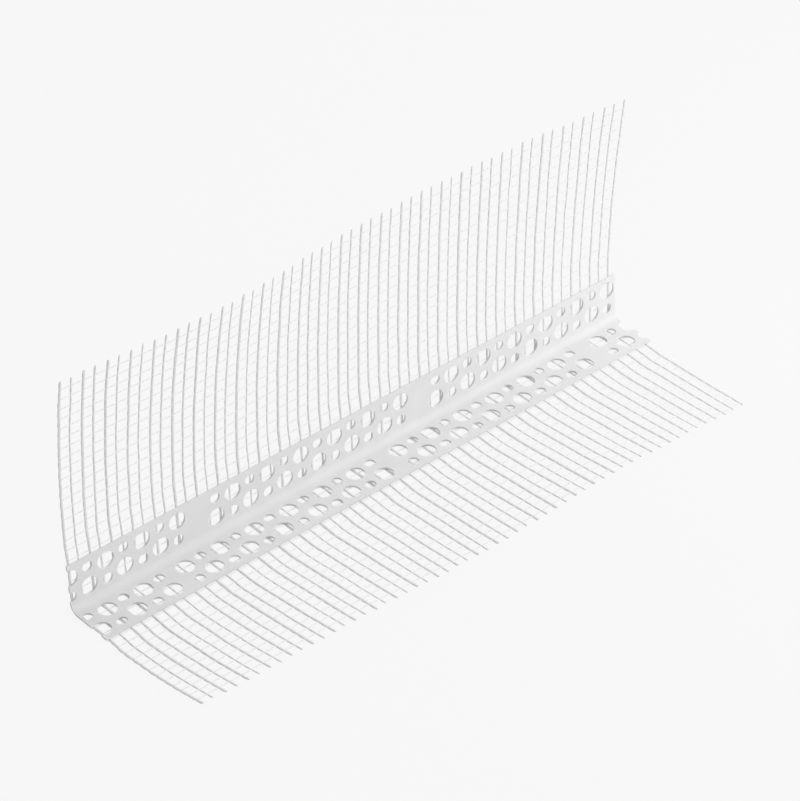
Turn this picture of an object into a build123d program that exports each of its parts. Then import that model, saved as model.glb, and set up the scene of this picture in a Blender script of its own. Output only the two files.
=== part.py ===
import os
from math import cos, degrees, floor, radians, sin

from build123d import *

# Perforated angle
length = 274.0
leg_width = 22.2
wall = 0.8
nose_radius = 4.0

# Perforations: each column has one large and one small hole, which change places in the next
large_hole = 7.6
small_hole = 4.5
hole_pitch = 8.32
columns_per_group = 12
corner_to_inner_large = 8.5
corner_to_inner_small = 7.2
edge_to_outer_large = 6.1
edge_to_outer_small = 4.6

# First column of each group, from the -X end. The cut ends run through a group.
lower_groups = (-55.9, 46.9, 151.7, 257.6)
upper_groups = (-41.1, 68.6, 178.1)

# Mesh: flat ribbons across the bead, laid in close pairs, and finer threads along it
ribbon_pitch = 5.0
ribbon_pairing = 0.13
ribbon_width = 0.9
ribbon_thickness = 0.4
thread_pitch = 4.95
thread_width = 0.6
thread_thickness = 0.22
bond_line = 0.05
mesh_end_margin = 1.2

# Free wings, at the panels' edges from the -X end to the +X end: how far the mesh runs past the
# leg's edge, the angle it is creased to there and the radius that it curls to
panels = 4
lower_reach = (60.4, 59.5, 58.6, 57.7, 56.8)
lower_crease = (2.0, 5.9, 2.5, 4.0, 0.5)
lower_curl = (290.0, 1800.0, 1290.0, 1320.0, 3100.0)
lower_last_thread = 55.0
upper_reach = (90.4, 90.3, 90.2, 90.1, 90.0)
upper_crease = (0.5, 2.3, 1.2, 1.9, 3.8)
upper_curl = (450.0, 410.0, 710.0, 1100.0, 810.0)
upper_last_thread = 85.4
crease_radius = 30.0

# Ribbons, from near the -X end, and the edges of the panels, midway between two ribbons
first_ribbon = mesh_end_margin - length / 2
ribbon_count = floor((length - 2 * mesh_end_margin) / ribbon_pitch) + 1
ribbons = [first_ribbon + ribbon_pitch * i + ribbon_pairing * (-1) ** i for i in range(ribbon_count)]
cuts = [round(ribbon_count * n / panels) for n in range(panels + 1)]
edges = [(ribbons[n - 1] + ribbons[n]) / 2 for n in cuts[1:-1]]
edges = [ribbons[0] - ribbon_width / 2, *edges, ribbons[-1] + ribbon_width / 2]

flat_run = leg_width - nose_radius
mesh_depth = bond_line + ribbon_thickness
mid_line = -(bond_line + ribbon_thickness / 2)


class Wing:
    """One side of the mesh strip. Lengths run along the leg, and lift is off its outer face."""

    def __init__(self, name, along, lift, reaches, creases, curls, last_thread):
        self.name = name
        self.along = Vector(*along)
        self.lift = Vector(*lift)
        self.reaches = reaches
        self.creases = creases
        self.curls = curls
        self.last_thread = last_thread

    def blend(self, values, x):
        """Read a value at x from those at the panels' edges."""
        n = max(n for n in range(panels) if n == 0 or edges[n] <= x)
        return values[n] + (values[n + 1] - values[n]) * (x - edges[n]) / (edges[n + 1] - edges[n])

    def reach(self, x):
        return self.blend(self.reaches, x)

    def crease(self, x):
        return radians(self.blend(self.creases, x))

    def curl(self, x):
        return 1 / self.blend([1 / radius for radius in self.curls], x)

    def plane(self, x):
        return Plane(corner + Vector(x, 0, 0), self.along, self.along.cross(self.lift))

    def at(self, x, run):
        """Place along the leg, lift and slope of the mesh's middle line, a run past the nose."""
        past = max(run - flat_run, 0)
        bend = min(past / crease_radius, self.crease(x))
        slope = bend + (past - bend * crease_radius) / self.curl(x)
        place = nose_radius + min(run, flat_run) + crease_radius * sin(bend)
        place += self.curl(x) * (sin(slope) - sin(bend))
        rise = mid_line + crease_radius * (1 - cos(bend))
        rise += self.curl(x) * (cos(bend) - cos(slope))
        return place, rise, slope

    def outermost(self, x):
        """How far along the leg a ribbon's tip reaches, with half its thickness."""
        place, rise, slope = self.at(x, flat_run + self.reach(x))
        return place + ribbon_thickness / 2 * sin(slope)


lower = Wing(
    "lower", (0, -1, 0), (0, 0, 1), lower_reach, lower_crease, lower_curl, lower_last_thread
)
upper = Wing(
    "upper", (0, 0, 1), (0, -1, 0), upper_reach, upper_crease, upper_curl, upper_last_thread
)

# The origin is under the middle of the whole bead, level with the underside of the mesh
corner = Vector(0, (max(lower.outermost(x) for x in ribbons) - mesh_depth) / 2, mesh_depth)


def hole_columns(groups):
    """Yield each column's place along X, and whether its large hole is the inner one."""
    for start in groups:
        for column in range(columns_per_group):
            place = start + column * hole_pitch
            if -large_hole / 2 < place < length + large_hole / 2:
                yield place - length / 2, column % 2 == 0


with BuildPart() as corner_profile:
    with BuildSketch(lower.plane(0)) as section:
        with BuildLine() as middle:
            FilletPolyline(
                (wall / 2, leg_width), (wall / 2, wall / 2), (leg_width, wall / 2),
                radius=nose_radius - wall / 2,
            )
        trace(line_width=wall)
    extrude(amount=length / 2, both=True)
    for wing, groups in ((lower, lower_groups), (upper, upper_groups)):
        leg = Plane(corner, wing.along, wing.lift)
        with BuildSketch(leg) as perforations:
            for x, large_inside in hole_columns(groups):
                across = x * leg.y_dir.X
                if large_inside:
                    large_place = (corner_to_inner_large, across)
                    small_place = (leg_width - edge_to_outer_small, across)
                else:
                    large_place = (leg_width - edge_to_outer_large, across)
                    small_place = (corner_to_inner_small, across)
                with Locations(large_place):
                    Circle(large_hole / 2)
                with Locations(small_place):
                    Circle(small_hole / 2)
        extrude(amount=wall, mode=Mode.SUBTRACT)
corner_profile.part.label = "corner_profile"


def ribbon_outline(wing, x):
    """Draw one ribbon on edge: half the nose, the leg's flat, the crease, then the free curl."""
    crease = wing.crease(x)
    turn = (wing.reach(x) - crease * crease_radius) / wing.curl(x)
    starts, tips = [], []
    for offset in (ribbon_thickness / 2, -ribbon_thickness / 2):
        nose = CenterArc((nose_radius, nose_radius), nose_radius - mid_line - offset, 225, 45)
        flat = Line(nose @ 1, (leg_width, mid_line + offset))
        bend = JernArc(flat @ 1, (1, 0), crease_radius - offset, degrees(crease))
        curl = JernArc(bend @ 1, bend % 1, wing.curl(x) - offset, degrees(turn))
        starts.append(nose @ 0)
        tips.append(curl @ 1)
    Line(*starts)
    Line(*tips)


def thread_bar(wing, run, x_from, x_to):
    """Make one lengthwise thread, skewed so that it follows the wing from end to end."""
    ends = []
    for x in (x_to, x_from):
        place, rise, slope = wing.at(x, run)
        ends.append(corner + Vector(x, 0, 0) + wing.along * place + wing.lift * rise)
    way = ends[0] - ends[1]
    with BuildPart(mode=Mode.PRIVATE) as bar:
        with BuildSketch(wing.plane(x_from)):
            with Locations(Location((place, rise), degrees(slope))):
                Rectangle(thread_width, thread_thickness)
        extrude(amount=way.length, dir=way)
    return bar.part


def mesh_panels(wing):
    """Build one wing of the mesh as panels, each with its ribbons and straight thread bars."""
    last_run = flat_run + wing.last_thread
    runs = [last_run - thread_pitch * n for n in range(floor(last_run / thread_pitch) + 1)]
    for n in range(panels):
        bars = [thread_bar(wing, run, edges[n], edges[n + 1]) for run in runs]
        with BuildPart() as panel:
            for x in ribbons[cuts[n]:cuts[n + 1]]:
                with BuildSketch(wing.plane(x)):
                    with BuildLine():
                        ribbon_outline(wing, x)
                    make_face()
            extrude(amount=ribbon_width / 2, both=True, clean=False)
            add(bars, clean=False)
        panel.part.label = f"mesh_{wing.name}_{n + 1}"
        yield panel.part


os.makedirs("parts", exist_ok=True)
export_step(corner_profile.part, "parts/corner_profile.step")
for wing in (lower, upper):
    for panel in mesh_panels(wing):
        export_step(panel, f"parts/{panel.label}.step", write_pcurves=False)
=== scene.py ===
from math import cos, pi, radians, sin

import bpy
from mathutils import Matrix, Vector


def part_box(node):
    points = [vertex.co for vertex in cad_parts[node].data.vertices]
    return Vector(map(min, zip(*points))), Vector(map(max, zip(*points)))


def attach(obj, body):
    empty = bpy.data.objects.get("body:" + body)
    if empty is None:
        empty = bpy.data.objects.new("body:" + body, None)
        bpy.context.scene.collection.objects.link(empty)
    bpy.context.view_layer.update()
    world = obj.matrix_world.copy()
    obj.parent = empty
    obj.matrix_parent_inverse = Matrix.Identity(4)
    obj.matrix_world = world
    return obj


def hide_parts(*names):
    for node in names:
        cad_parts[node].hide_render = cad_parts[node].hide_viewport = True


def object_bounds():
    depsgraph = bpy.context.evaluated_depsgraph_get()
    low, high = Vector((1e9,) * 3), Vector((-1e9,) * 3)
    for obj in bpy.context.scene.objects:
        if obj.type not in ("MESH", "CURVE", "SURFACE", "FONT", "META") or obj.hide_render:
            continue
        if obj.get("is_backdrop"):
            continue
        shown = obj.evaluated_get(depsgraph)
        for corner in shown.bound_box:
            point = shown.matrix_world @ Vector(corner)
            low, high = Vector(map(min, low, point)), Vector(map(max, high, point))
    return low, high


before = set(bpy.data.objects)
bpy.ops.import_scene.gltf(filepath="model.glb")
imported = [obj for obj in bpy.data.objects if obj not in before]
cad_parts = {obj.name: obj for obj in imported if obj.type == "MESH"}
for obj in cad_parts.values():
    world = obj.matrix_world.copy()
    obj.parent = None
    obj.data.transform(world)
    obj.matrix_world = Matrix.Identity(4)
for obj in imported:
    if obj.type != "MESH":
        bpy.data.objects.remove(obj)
cadLow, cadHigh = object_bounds()
print("frame loaded, nodes:", ", ".join(sorted(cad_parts)))

mm = 0.001


def linearColor(hexText):
    # sRGB hex to linear RGBA
    levels = [int(hexText[i:i + 2], 16) / 255 for i in (1, 3, 5)]
    return [v / 12.92 if v <= 0.04045 else ((v + 0.055) / 1.055) ** 2.4 for v in levels] + [1.0]


def addNode(tree, kind, settings=None, inputs=None):
    # inputs go by place or by name; a node given as an input stands for its first output
    node = tree.nodes.new(kind)
    for name, value in (settings or {}).items():
        setattr(node, name, value)
    pairs = inputs.items() if isinstance(inputs, dict) else enumerate(inputs or [])
    for key, value in pairs:
        if isinstance(value, bpy.types.Node):
            value = value.outputs[0]
        if isinstance(value, bpy.types.NodeSocket):
            tree.links.new(value, node.inputs[key])
        else:
            node.inputs[key].default_value = value
    return node


# Camera, at the photo's angle
cameraSet = {
    "place": (-0.681739, -0.843086, 0.865929),
    "azimuth": -38.5893,  # degrees, 0 looks along +Y
    "elevation": 36.9179,
    "roll": 2.6018,
    "lens": 162.788,
    "sensor": 36.0,
    "clipEnd": 20.0,
}
azimuth, elevation = radians(cameraSet["azimuth"]), radians(cameraSet["elevation"])
back = Vector((sin(azimuth) * cos(elevation), -cos(azimuth) * cos(elevation), sin(elevation)))
levelRight = Vector((0, 0, 1)).cross(back).normalized()
levelUp = back.cross(levelRight)
turn = radians(cameraSet["roll"])
cameraUp = levelUp * cos(turn) + levelRight * sin(turn)
cameraRight = cameraUp.cross(back)
cameraData = bpy.data.cameras.new("camera")
cameraData.lens = cameraSet["lens"]
cameraData.sensor_width = cameraSet["sensor"]
cameraData.clip_end = cameraSet["clipEnd"]
camera = bpy.data.objects.new("camera", cameraData)
camera.matrix_world = Matrix((cameraRight, cameraUp, back)).transposed().to_4x4()
camera.location = cameraSet["place"]
bpy.context.collection.objects.link(camera)
bpy.context.scene.camera = camera
bpy.context.scene.view_settings.view_transform = "Standard"
print("camera set")

# Stage: pale floor in a light tent, dark on the left and bright on the right, and one soft lamp
stageSet = {
    "floorSize": 6.0,
    "floorColor": "#F2F2F2",
    "shadowColor": "#545454",  # how much of its shading the camera sees
    "glowColor": "#FFFFFF",
    "floorGlow": 0.862,
    "backColor": "#F8F8F8",
    "skyColor": "#FFFFFF",
    "skyLevels": (0.12, 1.36),  # from the -X side to the +X side
    "lampPlace": (0.5, -0.27, 0.23),
    "lampAim": (0.08, 0.0, 0.03),
    "lampSize": 0.3,
    "lampPower": 1.05,
}


def seenRays(tree):
    # rays that show the background: straight from the camera, mirrored or through glass
    rays = addNode(tree, "ShaderNodeLightPath").outputs
    direct = addNode(tree, "ShaderNodeMath", {"operation": "MAXIMUM"},
                     [rays["Is Camera Ray"], rays["Is Glossy Ray"]])
    return addNode(tree, "ShaderNodeMath", {"operation": "MAXIMUM"},
                   [direct, rays["Is Transmission Ray"]])


floorHalf = stageSet["floorSize"] / 2
floorCorners = [(x * floorHalf, y * floorHalf, 0) for x, y in ((-1, -1), (1, -1), (1, 1), (-1, 1))]
floorMesh = bpy.data.meshes.new("floor")
floorMesh.from_pydata(floorCorners, [], [(0, 1, 2, 3)])
floor = bpy.data.objects.new("floor", floorMesh)
bpy.context.collection.objects.link(floor)
floor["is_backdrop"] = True

floorPaper = bpy.data.materials.new("matt paper sweep")  # takes a faint soft shadow
floorPaper.use_nodes = True
tree = floorPaper.node_tree
tree.nodes.clear()
rays = seenRays(tree)
matt = addNode(tree, "ShaderNodeBsdfDiffuse", None, {"Color": linearColor(stageSet["floorColor"])})
dimmed = addNode(tree, "ShaderNodeBsdfDiffuse", None,
                 {"Color": linearColor(stageSet["shadowColor"])})
glow = addNode(tree, "ShaderNodeEmission", None, {
    "Color": linearColor(stageSet["glowColor"]), "Strength": stageSet["floorGlow"],
})
seen = addNode(tree, "ShaderNodeAddShader", None, [dimmed, glow])
either = addNode(tree, "ShaderNodeMixShader", None, [rays, matt, seen])
addNode(tree, "ShaderNodeOutputMaterial", None, {"Surface": either})
floorMesh.materials.append(floorPaper)

world = bpy.data.worlds.new("light tent")
bpy.context.scene.world = world
world.use_nodes = True
tree = world.node_tree
tree.nodes.clear()
rays = seenRays(tree)
skyPlace = addNode(tree, "ShaderNodeTexCoord").outputs["Generated"]
way = addNode(tree, "ShaderNodeSeparateXYZ", None, [skyPlace])
level = addNode(tree, "ShaderNodeMapRange", None, {
    "Value": way.outputs[0], "From Min": -1.0, "From Max": 1.0,
    "To Min": stageSet["skyLevels"][0], "To Max": stageSet["skyLevels"][1],
})
sky = addNode(tree, "ShaderNodeBackground", None,
              {"Color": linearColor(stageSet["skyColor"]), "Strength": level})
backdrop = addNode(tree, "ShaderNodeBackground", None,
                   {"Color": linearColor(stageSet["backColor"]), "Strength": 1.0})
either = addNode(tree, "ShaderNodeMixShader", None, [rays, sky, backdrop])
addNode(tree, "ShaderNodeOutputWorld", None, {"Surface": either})

lampData = bpy.data.lights.new("soft box", "AREA")
lampData.shape = "DISK"
lampData.size = stageSet["lampSize"]
lampData.energy = stageSet["lampPower"]
lamp = bpy.data.objects.new("soft box", lampData)
lamp.location = stageSet["lampPlace"]
lampWay = Vector(stageSet["lampAim"]) - Vector(stageSet["lampPlace"])
lamp.rotation_euler = lampWay.to_track_quat("-Z", "Y").to_euler()
lamp.visible_camera = False
bpy.context.collection.objects.link(lamp)
print("stage and light set")

# Extruded rigid PVC: satin white, faint die lines along the length, slightly cloudy
pvcSet = {
    "pale": "#F4F4F4",
    "deep": "#EEEEEE",
    "tintRange": (0.45, 0.95),  # of lines and clouds together, from deep to pale
    "dieLine": 0.7,  # mm across the extrusion
    "dieRun": 90.0,  # mm along it
    "dieShare": 0.4,  # of the die lines beside the clouds
    "cloud": 14.0,  # mm
    "roughness": (0.52, 0.66),
    "bump": 0.02,  # mm
    "bumpStrength": 0.35,
    "ior": 1.53,
}
pvc = bpy.data.materials.new("rigid PVC, extruded")
pvc.use_nodes = True
tree = pvc.node_tree
tree.nodes.clear()
place = addNode(tree, "ShaderNodeTexCoord").outputs["Object"]
dieScale = 1 / (pvcSet["dieLine"] * mm)
lineScale = addNode(tree, "ShaderNodeMapping", {"vector_type": "POINT"}, {
    "Vector": place, "Scale": (1 / (pvcSet["dieRun"] * mm), dieScale, dieScale),
})
dieLines = addNode(tree, "ShaderNodeTexNoise", None,
                   {"Vector": lineScale, "Scale": 1.0, "Detail": 2.0}).outputs["Fac"]
clouds = addNode(tree, "ShaderNodeTexNoise", None, {
    "Vector": place, "Scale": 1 / (pvcSet["cloud"] * mm), "Detail": 3.0,
}).outputs["Fac"]
both = addNode(tree, "ShaderNodeMath", {"operation": "MULTIPLY_ADD"},
               [dieLines, pvcSet["dieShare"], clouds])
tint = addNode(tree, "ShaderNodeMapRange", None, {
    "Value": both, "From Min": pvcSet["tintRange"][0], "From Max": pvcSet["tintRange"][1],
})
# a colour mix has its two colours at sockets 6 and 7, and its result at output 2
tone = addNode(tree, "ShaderNodeMix", {"data_type": "RGBA"}, {
    "Factor": tint, 6: linearColor(pvcSet["deep"]), 7: linearColor(pvcSet["pale"]),
})
satin = addNode(tree, "ShaderNodeMapRange", None, {
    "Value": dieLines, "To Min": pvcSet["roughness"][0], "To Max": pvcSet["roughness"][1],
})
relief = addNode(tree, "ShaderNodeBump", None, {
    "Height": dieLines, "Strength": pvcSet["bumpStrength"], "Distance": pvcSet["bump"] * mm,
})
surface = addNode(tree, "ShaderNodeBsdfPrincipled", None, {
    "Base Color": tone.outputs[2], "Roughness": satin, "Normal": relief, "IOR": pvcSet["ior"],
})
addNode(tree, "ShaderNodeOutputMaterial", None, {"Surface": surface})
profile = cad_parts["corner_profile"]
profile.data.materials.clear()
profile.data.materials.append(pvc)
print("PVC angle finished")

# Mesh strip, in mm; the same sizes as the part's source
stripSet = {
    "length": 274.0,
    "legWidth": 22.2,
    "noseRadius": 4.0,
    "midLine": -0.25,  # the mesh's middle, off the leg's outer face
    "creaseRadius": 30.0,
    "firstRibbon": -135.8,
    "ribbonCount": 55,
    "ribbonPitch": 5.0,
    "ribbonPairing": 0.13,
    "threadPitch": 4.95,
    "threadEnds": (-136.2, 135.6),
}
# Each wing's free part past the leg: its reach at the -X and +X ends and its last thread, then
# the crease angle and curl radius at even steps from end to end, blended smoothly here, then
# how far it was pulled along the bead and how much its first tips were cut short
wingSet = {
    "lower": {
        "along": (0, -1, 0), "lift": (0, 0, 1), "panels": 4,
        "reach": (60.4, 56.8), "lastThread": 55.0,
        "crease": (2.0, 5.9, 2.5, 4.0, 0.5), "curl": (290.0, 1800.0, 1290.0, 1320.0, 3100.0),
        "edgeDrift": -0.85, "endTrim": 2.0,
    },
    "upper": {
        "along": (0, 0, 1), "lift": (0, -1, 0), "panels": 4,
        "reach": (90.4, 90.0), "lastThread": 85.4,
        "crease": (0.5, 2.3, 1.2, 1.9, 3.8), "curl": (450.0, 410.0, 710.0, 1100.0, 810.0),
        "edgeDrift": -0.55, "endTrim": 1.1,
    },
}
flatRun = stripSet["legWidth"] - stripSet["noseRadius"]
noseArc = stripSet["noseRadius"] - stripSet["midLine"]
bendRun = radians(45) * noseArc  # each wing goes half way round the nose
profileLow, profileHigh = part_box("corner_profile")
corner = Vector((0, profileHigh.y, profileLow.z))  # where the legs' outer faces would meet


def blend(values, x):
    # a smooth run through values at even steps from the -X end to the +X end
    place = min(max(x / stripSet["length"] + 0.5, 0), 1) * (len(values) - 1)
    n = min(int(place), len(values) - 2)
    t = place - n
    ends = [2 * values[0] - values[1], *values, 2 * values[-1] - values[-2]]
    before, low, high, after = ends[n:n + 4]
    square = 2 * before - 5 * low + 4 * high - after
    cube = 3 * (low - high) + after - before
    return low + 0.5 * t * (high - before + t * (square + t * cube))


def wingPoint(wing, x, run):
    # a point of the mesh's middle surface, x along the bead and run past the nose, in mm
    crease = radians(blend(wing["crease"], x))
    bending = blend([1 / radius for radius in wing["curl"]], x)
    past = max(run - flatRun, 0)
    bend = min(past / stripSet["creaseRadius"], crease)
    slope = bend + (past - bend * stripSet["creaseRadius"]) * bending
    noseTurn = max(-run, 0) / noseArc
    out = stripSet["noseRadius"] + min(max(run, 0), flatRun) - noseArc * sin(noseTurn)
    out += stripSet["creaseRadius"] * sin(bend) + (sin(slope) - sin(bend)) / bending
    rise = stripSet["noseRadius"] - noseArc * cos(noseTurn)
    rise += stripSet["creaseRadius"] * (1 - cos(bend)) + (cos(bend) - cos(slope)) / bending
    spot = Vector((x, 0, 0)) + Vector(wing["along"]) * out + Vector(wing["lift"]) * rise
    return corner + spot * mm


# A fine sheet that the strands are laid on, in mm; it isn't kept
sheetSet = {"edge": 2.0, "stepX": 3.0, "stepRun": 0.6, "beyond": 4.0}
sheetHalf = stripSet["length"] / 2 + sheetSet["edge"]


def wingSheet(name, wing):
    runHigh = flatRun + max(wing["reach"]) + sheetSet["beyond"]
    columns = int(2 * sheetHalf / sheetSet["stepX"]) + 1
    rows = int((runHigh + bendRun) / sheetSet["stepRun"]) + 1
    points, shares = [], []
    for i in range(columns + 1):
        for j in range(rows + 1):
            u, v = i / columns, j / rows
            run = -bendRun + v * (runHigh + bendRun)
            points.append(wingPoint(wing, (2 * u - 1) * sheetHalf, run))
            shares.append((u, v))
    faces = []
    for i in range(columns):
        for j in range(rows):
            here, beyond = i * (rows + 1) + j, (i + 1) * (rows + 1) + j
            faces.append((here, here + 1, beyond + 1, beyond))
    sheet = bpy.data.meshes.new(name)
    sheet.from_pydata(points, [], faces)
    sheet.polygons.foreach_set("use_smooth", [True] * len(faces))
    layer = sheet.uv_layers.new(name="sheetPlace")
    for loop in sheet.loops:
        layer.uv[loop.index].vector = shares[loop.vertex_index]
    made = bpy.data.objects.new(name, sheet)
    bpy.context.collection.objects.link(made)
    return made, runHigh


def newTree(name, inputs):
    tree = bpy.data.node_groups.new(name, "GeometryNodeTree")
    tree.interface.new_socket("Geometry", in_out="INPUT", socket_type="NodeSocketGeometry")
    for label, kind in inputs:
        tree.interface.new_socket(label, in_out="INPUT", socket_type="NodeSocket" + kind)
    tree.interface.new_socket("Geometry", in_out="OUTPUT", socket_type="NodeSocketGeometry")
    return tree, addNode(tree, "NodeGroupInput").outputs


def layStrands(tree, given, tubes, x, run, off, fibre):
    # puts tubes on the sheet at x along it, run past the nose and off its middle, then ends the tree
    u = addNode(tree, "ShaderNodeMath", {"operation": "MULTIPLY_ADD"},
                [x, 0.5 / (sheetHalf * mm), 0.5])
    v = addNode(tree, "ShaderNodeMapRange", {"clamp": False}, {
        "Value": run, "From Min": -bendRun * mm, "From Max": given["Sheet Run"],
    })
    uv = addNode(tree, "ShaderNodeCombineXYZ", None, [u, v])
    sheetPlace = addNode(tree, "GeometryNodeInputNamedAttribute", {"data_type": "FLOAT_VECTOR"},
                         {"Name": "sheetPlace"})
    sampled = []
    for source in ("GeometryNodeInputPosition", "GeometryNodeInputNormal"):
        sampled.append(addNode(tree, "GeometryNodeSampleUVSurface", {"data_type": "FLOAT_VECTOR"}, {
            "Mesh": given["Geometry"], "Value": addNode(tree, source),
            "Source UV Map": sheetPlace, "Sample UV": uv,
        }))
    onSheet = addNode(tree, "ShaderNodeVectorMath", {"operation": "MULTIPLY_ADD"},
                      [sampled[1], off, sampled[0]])
    marked = addNode(tree, "GeometryNodeStoreNamedAttribute",
                     {"data_type": "FLOAT_VECTOR", "domain": "POINT"},
                     {"Geometry": tubes, "Name": "fibre", "Value": fibre})
    # the place on the sheet is worked out from the straight tube, so it is kept before the move
    kept = addNode(tree, "GeometryNodeCaptureAttribute")
    kept.capture_items.new("VECTOR", "Place")
    tree.links.new(marked.outputs[0], kept.inputs[0])
    tree.links.new(onSheet.outputs[0], kept.inputs[1])
    laid = addNode(tree, "GeometryNodeSetPosition", None,
                   {"Geometry": kept.outputs[0], "Position": kept.outputs[1]})
    smooth = addNode(tree, "GeometryNodeSetShadeSmooth", None, {"Geometry": laid})
    real = addNode(tree, "GeometryNodeRealizeInstances", None, {"Geometry": smooth})
    finished = addNode(tree, "GeometryNodeSetMaterial", None,
                       {"Geometry": real, "Material": given["Material"]})
    addNode(tree, "NodeGroupOutput", None, {"Geometry": finished})


def straightTubes(tree, given):
    # one closed tube for each strand, its number kept as an attribute
    points = addNode(tree, "GeometryNodePoints", None, {"Count": given["Count"]})
    numbered = addNode(tree, "GeometryNodeStoreNamedAttribute",
                       {"data_type": "INT", "domain": "POINT"},
                       {"Geometry": points, "Name": "strand",
                        "Value": addNode(tree, "GeometryNodeInputIndex")})
    tube = addNode(tree, "GeometryNodeMeshCylinder", {"fill_type": "NGON"}, {
        "Vertices": given["Sides"], "Side Segments": given["Steps"], "Radius": 1.0, "Depth": 1.0,
    })
    copies = addNode(tree, "GeometryNodeInstanceOnPoints", None,
                     {"Points": numbered, "Instance": tube})
    tubes = addNode(tree, "GeometryNodeRealizeInstances", None, {"Geometry": copies})
    strand = addNode(tree, "GeometryNodeInputNamedAttribute", {"data_type": "INT"},
                     {"Name": "strand"})
    spot = addNode(tree, "ShaderNodeSeparateXYZ", None, [addNode(tree, "GeometryNodeInputPosition")])
    share = addNode(tree, "ShaderNodeMath", {"operation": "ADD"}, [spot.outputs[2], 0.5])
    return tubes, strand, spot, share


# Flat rovings across the bead, pinched where each pair of yarns crosses them; lengths in mm
ribbonSet = {
    "width": 1.1,
    "widthTurn": 0.17,
    "widthJitter": 0.12,
    "thickness": 0.34,
    "widthPinch": 0.36,
    "thicknessPinch": 0.16,
    "gripPower": 2.0,  # more is a shorter pinch
    "placeJitter": 0.06,
    "tipJitter": 0.5,
    "trimRun": 20.0,  # from the -X end to where tips are no longer cut short
    "pullRun": 12.0,  # past the leg's edge, over which the sideways pull grows
    "wander": 0.8,
    "wanderLength": 22.0,
    "wanderApart": 370.0,  # between two ribbons in the noise, so that each has its own waves
    "sides": 8,
    "step": 0.62,
    "seed": 11,
    "colors": ("#DCDCDC", "#F4F4F4"),
    "bundle": 0.18,
    "streak": 9.0,
    "roughness": (0.4, 0.6),
    "bump": 0.03,
}
ribbonTree, given = newTree("ribbon weave", [
    ("Count", "Int"), ("First", "Float"), ("Pitch", "Float"), ("Pairing", "Float"),
    ("Width", "Float"), ("Thickness", "Float"), ("Tip Left", "Float"), ("Tip Right", "Float"),
    ("Last Thread", "Float"), ("Thread Pitch", "Float"), ("Width Pinch", "Float"),
    ("Thickness Pinch", "Float"), ("Grip Power", "Float"), ("Place Jitter", "Float"),
    ("Tip Jitter", "Float"), ("End Trim", "Float"), ("Trim Share", "Float"),
    ("Width Turn", "Float"), ("Width Jitter", "Float"), ("Wander", "Float"),
    ("Wander Scale", "Float"), ("Wander Apart", "Float"), ("Edge Drift", "Float"),
    ("Pull Start", "Float"), ("Pull End", "Float"), ("Sheet Run", "Float"), ("Sides", "Int"),
    ("Steps", "Int"), ("Seed", "Int"), ("Material", "Material"),
])
tree = ribbonTree
tubes, strand, spot, share = straightTubes(tree, given)
# a random value has its least and most at sockets 2 and 3, and its result at output 1
odd = addNode(tree, "ShaderNodeMath", {"operation": "MODULO"}, [strand, 2.0])
side = addNode(tree, "ShaderNodeMath", {"operation": "MULTIPLY_ADD"}, [odd, -2.0, 1.0])
even = addNode(tree, "ShaderNodeMath", {"operation": "MULTIPLY_ADD"},
               [strand, given["Pitch"], given["First"]])
paired = addNode(tree, "ShaderNodeMath", {"operation": "MULTIPLY_ADD"},
                 [side, given["Pairing"], even])
shift = addNode(tree, "FunctionNodeRandomValue", {"data_type": "FLOAT"},
                {2: -1.0, 3: 1.0, "ID": strand, "Seed": given["Seed"]})
middle = addNode(tree, "ShaderNodeMath", {"operation": "MULTIPLY_ADD"},
                 [shift.outputs[1], given["Place Jitter"], paired])
lengthShare = addNode(tree, "ShaderNodeMath", {"operation": "MULTIPLY_ADD"},
                      [middle, 1 / (stripSet["length"] * mm), 0.5])
evenTip = addNode(tree, "ShaderNodeMapRange", {"clamp": False}, {
    "Value": lengthShare, "To Min": given["Tip Left"], "To Max": given["Tip Right"],
})
tipSeed = addNode(tree, "ShaderNodeMath", {"operation": "ADD"}, [given["Seed"], 1.0])
cut = addNode(tree, "FunctionNodeRandomValue", {"data_type": "FLOAT"},
              {2: -1.0, 3: 1.0, "ID": strand, "Seed": tipSeed})
cutTip = addNode(tree, "ShaderNodeMath", {"operation": "MULTIPLY_ADD"},
                 [cut.outputs[1], given["Tip Jitter"], evenTip])
# the first few tips at the -X end were cut shorter
trim = addNode(tree, "ShaderNodeMapRange", None, {
    "Value": lengthShare, "From Max": given["Trim Share"],
    "To Min": given["End Trim"], "To Max": 0.0,
})
tip = addNode(tree, "ShaderNodeMath", {"operation": "SUBTRACT"}, [cutTip, trim])
run = addNode(tree, "ShaderNodeMapRange", {"clamp": False},
              {"Value": share, "To Min": -bendRun * mm, "To Max": tip})
# the yarns grip it at each crossing
fromThread = addNode(tree, "ShaderNodeMath", {"operation": "SUBTRACT"}, [run, given["Last Thread"]])
beat = addNode(tree, "ShaderNodeMath", {"operation": "DIVIDE"}, [fromThread, given["Thread Pitch"]])
angle = addNode(tree, "ShaderNodeMath", {"operation": "MULTIPLY"}, [beat, 2 * pi])
wave = addNode(tree, "ShaderNodeMath", {"operation": "COSINE"}, [angle])
broadGrip = addNode(tree, "ShaderNodeMath", {"operation": "MULTIPLY_ADD"}, [wave, 0.5, 0.5])
grip = addNode(tree, "ShaderNodeMath", {"operation": "POWER"}, [broadGrip, given["Grip Power"]])
widthLoss = addNode(tree, "ShaderNodeMath", {"operation": "MULTIPLY"}, [grip, given["Width Pinch"]])
thickLoss = addNode(tree, "ShaderNodeMath", {"operation": "MULTIPLY"},
                    [grip, given["Thickness Pinch"]])
widthSeed = addNode(tree, "ShaderNodeMath", {"operation": "ADD"}, [given["Seed"], 2.0])
spread = addNode(tree, "FunctionNodeRandomValue", {"data_type": "FLOAT"},
                 {2: -1.0, 3: 1.0, "ID": strand, "Seed": widthSeed})
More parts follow.
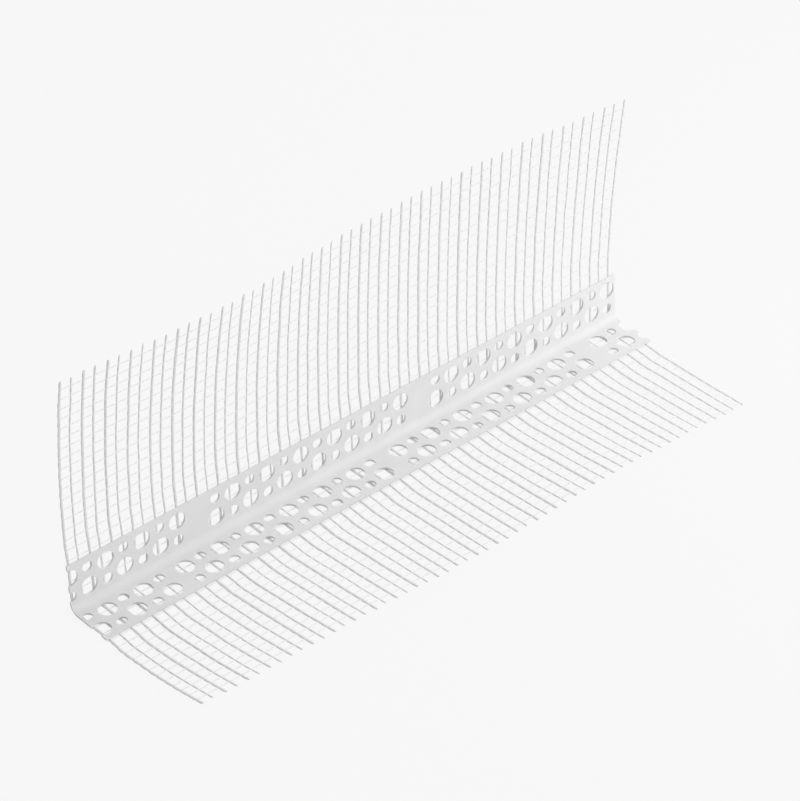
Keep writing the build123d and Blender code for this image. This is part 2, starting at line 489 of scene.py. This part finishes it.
# every other ribbon is turned a little in the weave, so it looks wider
turnWidth = addNode(tree, "ShaderNodeMath", {"operation": "MULTIPLY_ADD"},
                    [side, given["Width Turn"], given["Width"]])
ownWidth = addNode(tree, "ShaderNodeMath", {"operation": "MULTIPLY_ADD"},
                   [spread.outputs[1], given["Width Jitter"], turnWidth])
widthLeft = addNode(tree, "ShaderNodeMath", {"operation": "SUBTRACT"}, [ownWidth, widthLoss])
halfWidth = addNode(tree, "ShaderNodeMath", {"operation": "MULTIPLY"}, [widthLeft, 0.5])
thickLeft = addNode(tree, "ShaderNodeMath", {"operation": "SUBTRACT"},
                    [given["Thickness"], thickLoss])
halfThick = addNode(tree, "ShaderNodeMath", {"operation": "MULTIPLY"}, [thickLeft, 0.5])
strandApart = addNode(tree, "ShaderNodeMath", {"operation": "MULTIPLY"},
                      [strand, given["Wander Apart"]])
spotOnStrand = addNode(tree, "ShaderNodeCombineXYZ", None, [strandApart, run, 0.0])
drift = addNode(tree, "ShaderNodeTexNoise", {"noise_dimensions": "3D"},
                {"Vector": spotOnStrand, "Scale": given["Wander Scale"], "Detail": 1.0})
driftSigned = addNode(tree, "ShaderNodeMath", {"operation": "SUBTRACT"}, [drift.outputs["Fac"], 0.5])
wandering = addNode(tree, "ShaderNodeMath", {"operation": "MULTIPLY_ADD"},
                    [driftSigned, given["Wander"], middle])
# the free mesh was pulled a little to one side of where it is bonded
pulled = addNode(tree, "ShaderNodeMapRange", {"interpolation_type": "SMOOTHSTEP"}, {
    "Value": run, "From Min": given["Pull Start"], "From Max": given["Pull End"],
    "To Max": given["Edge Drift"],
})
strandX = addNode(tree, "ShaderNodeMath", {"operation": "ADD"}, [wandering, pulled])
across = addNode(tree, "ShaderNodeMath", {"operation": "MULTIPLY"}, [spot.outputs[0], halfWidth])
x = addNode(tree, "ShaderNodeMath", {"operation": "ADD"}, [strandX, across])
off = addNode(tree, "ShaderNodeMath", {"operation": "MULTIPLY"}, [spot.outputs[1], halfThick])
fibre = addNode(tree, "ShaderNodeCombineXYZ", None, [across, run, strand])
layStrands(tree, given, tubes, x, run, off, fibre)
print("ribbon tree built")

# Fine yarns along the bead in pairs: they turn round each other and clasp each ribbon between
# them; lengths in mm
yarnSet = {
    "width": 0.18,
    "thickness": 0.11,
    "spread": 0.17,
    "clasp": 0.165,
    "endJitter": 0.5,
    "wander": 0.4,
    "wanderLength": 16.0,
    "wanderApart": 410.0,  # between two pairs in the noise
    "sides": 5,
    "stepsPerRibbon": 6,
    "seed": 23,
    "colors": ("#F4F4F4", "#FCFCFC"),
    "bundle": 0.1,
    "streak": 3.0,
    "roughness": (0.4, 0.6),
    "bump": 0.02,
}
yarnTree, given = newTree("leno yarns", [
    ("Count", "Int"), ("First", "Float"), ("Ribbon Pitch", "Float"), ("Last Thread", "Float"),
    ("Thread Pitch", "Float"), ("Width", "Float"), ("Thickness", "Float"), ("Spread", "Float"),
    ("Clasp", "Float"), ("Low End", "Float"), ("High End", "Float"), ("End Jitter", "Float"),
    ("Wander", "Float"), ("Wander Scale", "Float"), ("Wander Apart", "Float"),
    ("Sheet Run", "Float"), ("Sides", "Int"), ("Steps", "Int"), ("Seed", "Int"),
    ("Material", "Material"),
])
tree = yarnTree
tubes, strand, spot, share = straightTubes(tree, given)
second = addNode(tree, "ShaderNodeMath", {"operation": "MODULO"}, [strand, 2.0])
pairHalf = addNode(tree, "ShaderNodeMath", {"operation": "MULTIPLY"}, [strand, 0.5])
pair = addNode(tree, "ShaderNodeMath", {"operation": "FLOOR"}, [pairHalf])
pairRun = addNode(tree, "ShaderNodeMath", {"operation": "MULTIPLY"}, [pair, given["Thread Pitch"]])
threadRun = addNode(tree, "ShaderNodeMath", {"operation": "SUBTRACT"},
                    [given["Last Thread"], pairRun])
endCut = addNode(tree, "FunctionNodeRandomValue", {"data_type": "FLOAT"},
                 {2: 0.0, 3: 1.0, "ID": strand, "Seed": given["Seed"]})
frayed = addNode(tree, "ShaderNodeMath", {"operation": "MULTIPLY"},
                 [endCut.outputs[1], given["End Jitter"]])
lowEnd = addNode(tree, "ShaderNodeMath", {"operation": "SUBTRACT"}, [given["Low End"], frayed])
highEnd = addNode(tree, "ShaderNodeMath", {"operation": "ADD"}, [given["High End"], frayed])
x = addNode(tree, "ShaderNodeMapRange", {"clamp": False},
            {"Value": share, "To Min": lowEnd, "To Max": highEnd})
# half a turn from ribbon to ribbon, one yarn over and one under at each
fromFirst = addNode(tree, "ShaderNodeMath", {"operation": "SUBTRACT"}, [x, given["First"]])
beat = addNode(tree, "ShaderNodeMath", {"operation": "DIVIDE"}, [fromFirst, given["Ribbon Pitch"]])
beatPair = addNode(tree, "ShaderNodeMath", {"operation": "ADD"}, [beat, second])
beatShift = addNode(tree, "ShaderNodeMath", {"operation": "ADD"}, [beatPair, 0.5])
angle = addNode(tree, "ShaderNodeMath", {"operation": "MULTIPLY"}, [beatShift, pi])
beside = addNode(tree, "ShaderNodeMath", {"operation": "COSINE"}, [angle])
above = addNode(tree, "ShaderNodeMath", {"operation": "SINE"}, [angle])
pairApart = addNode(tree, "ShaderNodeMath", {"operation": "MULTIPLY"}, [pair, given["Wander Apart"]])
spotOnThread = addNode(tree, "ShaderNodeCombineXYZ", None, [x, pairApart, 0.0])
drift = addNode(tree, "ShaderNodeTexNoise", {"noise_dimensions": "3D"},
                {"Vector": spotOnThread, "Scale": given["Wander Scale"], "Detail": 1.0})
driftSigned = addNode(tree, "ShaderNodeMath", {"operation": "SUBTRACT"}, [drift.outputs["Fac"], 0.5])
wavyRun = addNode(tree, "ShaderNodeMath", {"operation": "MULTIPLY_ADD"},
                  [driftSigned, given["Wander"], threadRun])
yarnRun = addNode(tree, "ShaderNodeMath", {"operation": "MULTIPLY_ADD"},
                  [beside, given["Spread"], wavyRun])
# the minus keeps the faces outwards, since these tubes run along the sheet
halfWidth = addNode(tree, "ShaderNodeMath", {"operation": "MULTIPLY"}, [given["Width"], -0.5])
across = addNode(tree, "ShaderNodeMath", {"operation": "MULTIPLY"}, [spot.outputs[0], halfWidth])
run = addNode(tree, "ShaderNodeMath", {"operation": "ADD"}, [yarnRun, across])
halfThick = addNode(tree, "ShaderNodeMath", {"operation": "MULTIPLY"}, [given["Thickness"], 0.5])
bulge = addNode(tree, "ShaderNodeMath", {"operation": "MULTIPLY"}, [spot.outputs[1], halfThick])
off = addNode(tree, "ShaderNodeMath", {"operation": "MULTIPLY_ADD"}, [above, given["Clasp"], bulge])
fibre = addNode(tree, "ShaderNodeCombineXYZ", None, [across, x, strand])
layStrands(tree, given, tubes, x, run, off, fibre)
print("yarn tree built")

# What ribbons and yarns share in their finish
fibreSet = {
    "strandApart": 7.3,  # between two strands in the noise
    "streakRange": (0.3, 0.7),
    "streakShare": 0.6,
    "ownShare": 0.4,  # of the tone that each strand has for itself
    "bumpStrength": 0.6,
    "ior": 1.5,
}


def fibreMaterial(name, strandSet):
    # parallel filaments under a thin coating: long streaks down each strand, softly shiny
    made = bpy.data.materials.new(name)
    made.use_nodes = True
    tree = made.node_tree
    tree.nodes.clear()
    fibre = addNode(tree, "ShaderNodeAttribute", {"attribute_name": "fibre"}).outputs["Vector"]
    # filaments are about 0.01 mm, so the streaks are drawn as small bundles that show
    bundleScale, streakScale = 1 / (strandSet["bundle"] * mm), 1 / (strandSet["streak"] * mm)
    drawn = addNode(tree, "ShaderNodeMapping", {"vector_type": "POINT"}, {
        "Vector": fibre, "Scale": (bundleScale, streakScale, fibreSet["strandApart"]),
    })
    streaks = addNode(tree, "ShaderNodeTexNoise", None,
                      {"Vector": drawn, "Scale": 1.0, "Detail": 2.0}).outputs["Fac"]
    streakTone = addNode(tree, "ShaderNodeMapRange", None, {
        "Value": streaks, "From Min": fibreSet["streakRange"][0],
        "From Max": fibreSet["streakRange"][1], "To Max": fibreSet["streakShare"],
    })
    number = addNode(tree, "ShaderNodeSeparateXYZ", None, [fibre]).outputs[2]
    ownTone = addNode(tree, "ShaderNodeTexWhiteNoise", {"noise_dimensions": "1D"},
                      {"W": number}).outputs["Value"]
    tint = addNode(tree, "ShaderNodeMath", {"operation": "MULTIPLY_ADD"},
                   [ownTone, fibreSet["ownShare"], streakTone])
    deep, pale = strandSet["colors"]
    tone = addNode(tree, "ShaderNodeMix", {"data_type": "RGBA"}, {
        "Factor": tint, 6: linearColor(deep), 7: linearColor(pale),
    })
    gloss = addNode(tree, "ShaderNodeMapRange", None, {
        "Value": streaks, "To Min": strandSet["roughness"][0], "To Max": strandSet["roughness"][1],
    })
    relief = addNode(tree, "ShaderNodeBump", None, {
        "Height": streaks, "Strength": fibreSet["bumpStrength"], "Distance": strandSet["bump"] * mm,
    })
    surface = addNode(tree, "ShaderNodeBsdfPrincipled", None, {
        "Base Color": tone.outputs[2], "Roughness": gloss, "Normal": relief, "IOR": fibreSet["ior"],
    })
    addNode(tree, "ShaderNodeOutputMaterial", None, {"Surface": surface})
    return made


ribbonGlass = fibreMaterial("coated glass roving, woven", ribbonSet)
yarnGlass = fibreMaterial("coated glass yarn, leno twisted", yarnSet)


def makeStrands(name, sheet, tree, values):
    # runs the tree on the sheet and keeps the result as a plain mesh
    holder = bpy.data.objects.new(name + "_weave", sheet.data)
    bpy.context.collection.objects.link(holder)
    weave = holder.modifiers.new("weave", "NODES")
    weave.node_group = tree
    for item in tree.interface.items_tree:
        if item.item_type == "SOCKET" and item.in_out == "INPUT" and item.name in values:
            weave[item.identifier] = values[item.name]
    graph = bpy.context.evaluated_depsgraph_get()
    woven = holder.evaluated_get(graph)
    mesh = bpy.data.meshes.new_from_object(woven, preserve_all_data_layers=True, depsgraph=graph)
    mesh.name = name
    holder.modifiers.remove(weave)
    bpy.data.objects.remove(holder)
    piece = bpy.data.objects.new(name, mesh)
    bpy.context.collection.objects.link(piece)
    triangles = sum(len(face.vertices) - 2 for face in mesh.polygons)
    print(name, triangles, "triangles")
    return piece


firstRibbon = stripSet["firstRibbon"]
for wingName, wing in wingSet.items():
    sheet, runHigh = wingSheet(wingName + "_sheet", wing)
    lastThread = flatRun + wing["lastThread"]
    threadCount = int(lastThread / stripSet["threadPitch"]) + 1
    strandRun = flatRun + max(wing["reach"]) + bendRun
    ribbons = makeStrands("mesh_ribbons_" + wingName, sheet, ribbonTree, {
        "Count": stripSet["ribbonCount"],
        "First": firstRibbon * mm,
        "Pitch": stripSet["ribbonPitch"] * mm,
        "Pairing": stripSet["ribbonPairing"] * mm,
        "Width": ribbonSet["width"] * mm,
        "Thickness": ribbonSet["thickness"] * mm,
        "Tip Left": (flatRun + wing["reach"][0]) * mm,
        "Tip Right": (flatRun + wing["reach"][1]) * mm,
        "Last Thread": lastThread * mm,
        "Thread Pitch": stripSet["threadPitch"] * mm,
        "Width Pinch": ribbonSet["widthPinch"] * mm,
        "Thickness Pinch": ribbonSet["thicknessPinch"] * mm,
        "Grip Power": ribbonSet["gripPower"],
        "Place Jitter": ribbonSet["placeJitter"] * mm,
        "Tip Jitter": ribbonSet["tipJitter"] * mm,
        "End Trim": wing["endTrim"] * mm,
        "Trim Share": ribbonSet["trimRun"] / stripSet["length"],
        "Width Turn": ribbonSet["widthTurn"] * mm,
        "Width Jitter": ribbonSet["widthJitter"] * mm,
        "Wander": ribbonSet["wander"] * mm,
        "Wander Scale": 1 / (ribbonSet["wanderLength"] * mm),
        "Wander Apart": ribbonSet["wanderApart"] * mm,
        "Edge Drift": wing["edgeDrift"] * mm,
        "Pull Start": flatRun * mm,
        "Pull End": (flatRun + ribbonSet["pullRun"]) * mm,
        "Sheet Run": runHigh * mm,
        "Sides": ribbonSet["sides"],
        "Steps": int(strandRun / ribbonSet["step"]),
        "Seed": ribbonSet["seed"],
        "Material": ribbonGlass,
    })
    yarns = makeStrands("leno_yarns_" + wingName, sheet, yarnTree, {
        "Count": 2 * threadCount,
        "First": firstRibbon * mm,
        "Ribbon Pitch": stripSet["ribbonPitch"] * mm,
        "Last Thread": lastThread * mm,
        "Thread Pitch": stripSet["threadPitch"] * mm,
        "Width": yarnSet["width"] * mm,
        "Thickness": yarnSet["thickness"] * mm,
        "Spread": yarnSet["spread"] * mm,
        "Clasp": yarnSet["clasp"] * mm,
        "Low End": stripSet["threadEnds"][0] * mm,
        "High End": stripSet["threadEnds"][1] * mm,
        "End Jitter": yarnSet["endJitter"] * mm,
        "Wander": yarnSet["wander"] * mm,
        "Wander Scale": 1 / (yarnSet["wanderLength"] * mm),
        "Wander Apart": yarnSet["wanderApart"] * mm,
        "Sheet Run": runHigh * mm,
        "Sides": yarnSet["sides"],
        "Steps": stripSet["ribbonCount"] * yarnSet["stepsPerRibbon"],
        "Seed": yarnSet["seed"],
        "Material": yarnGlass,
    })
    bpy.data.objects.remove(sheet)
    nodes = [f"mesh_{wingName}_{n + 1}" for n in range(wing["panels"])]
    for piece in (ribbons, yarns):
        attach(piece, "root")
        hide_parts(*nodes)
    print(wingName, "wing woven,", threadCount, "threads")

seenLow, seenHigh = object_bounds()
for label, low, high in (("cad", cadLow, cadHigh), ("visual", seenLow, seenHigh)):
    print(label, "box", [round(v / mm, 2) for v in high - low])
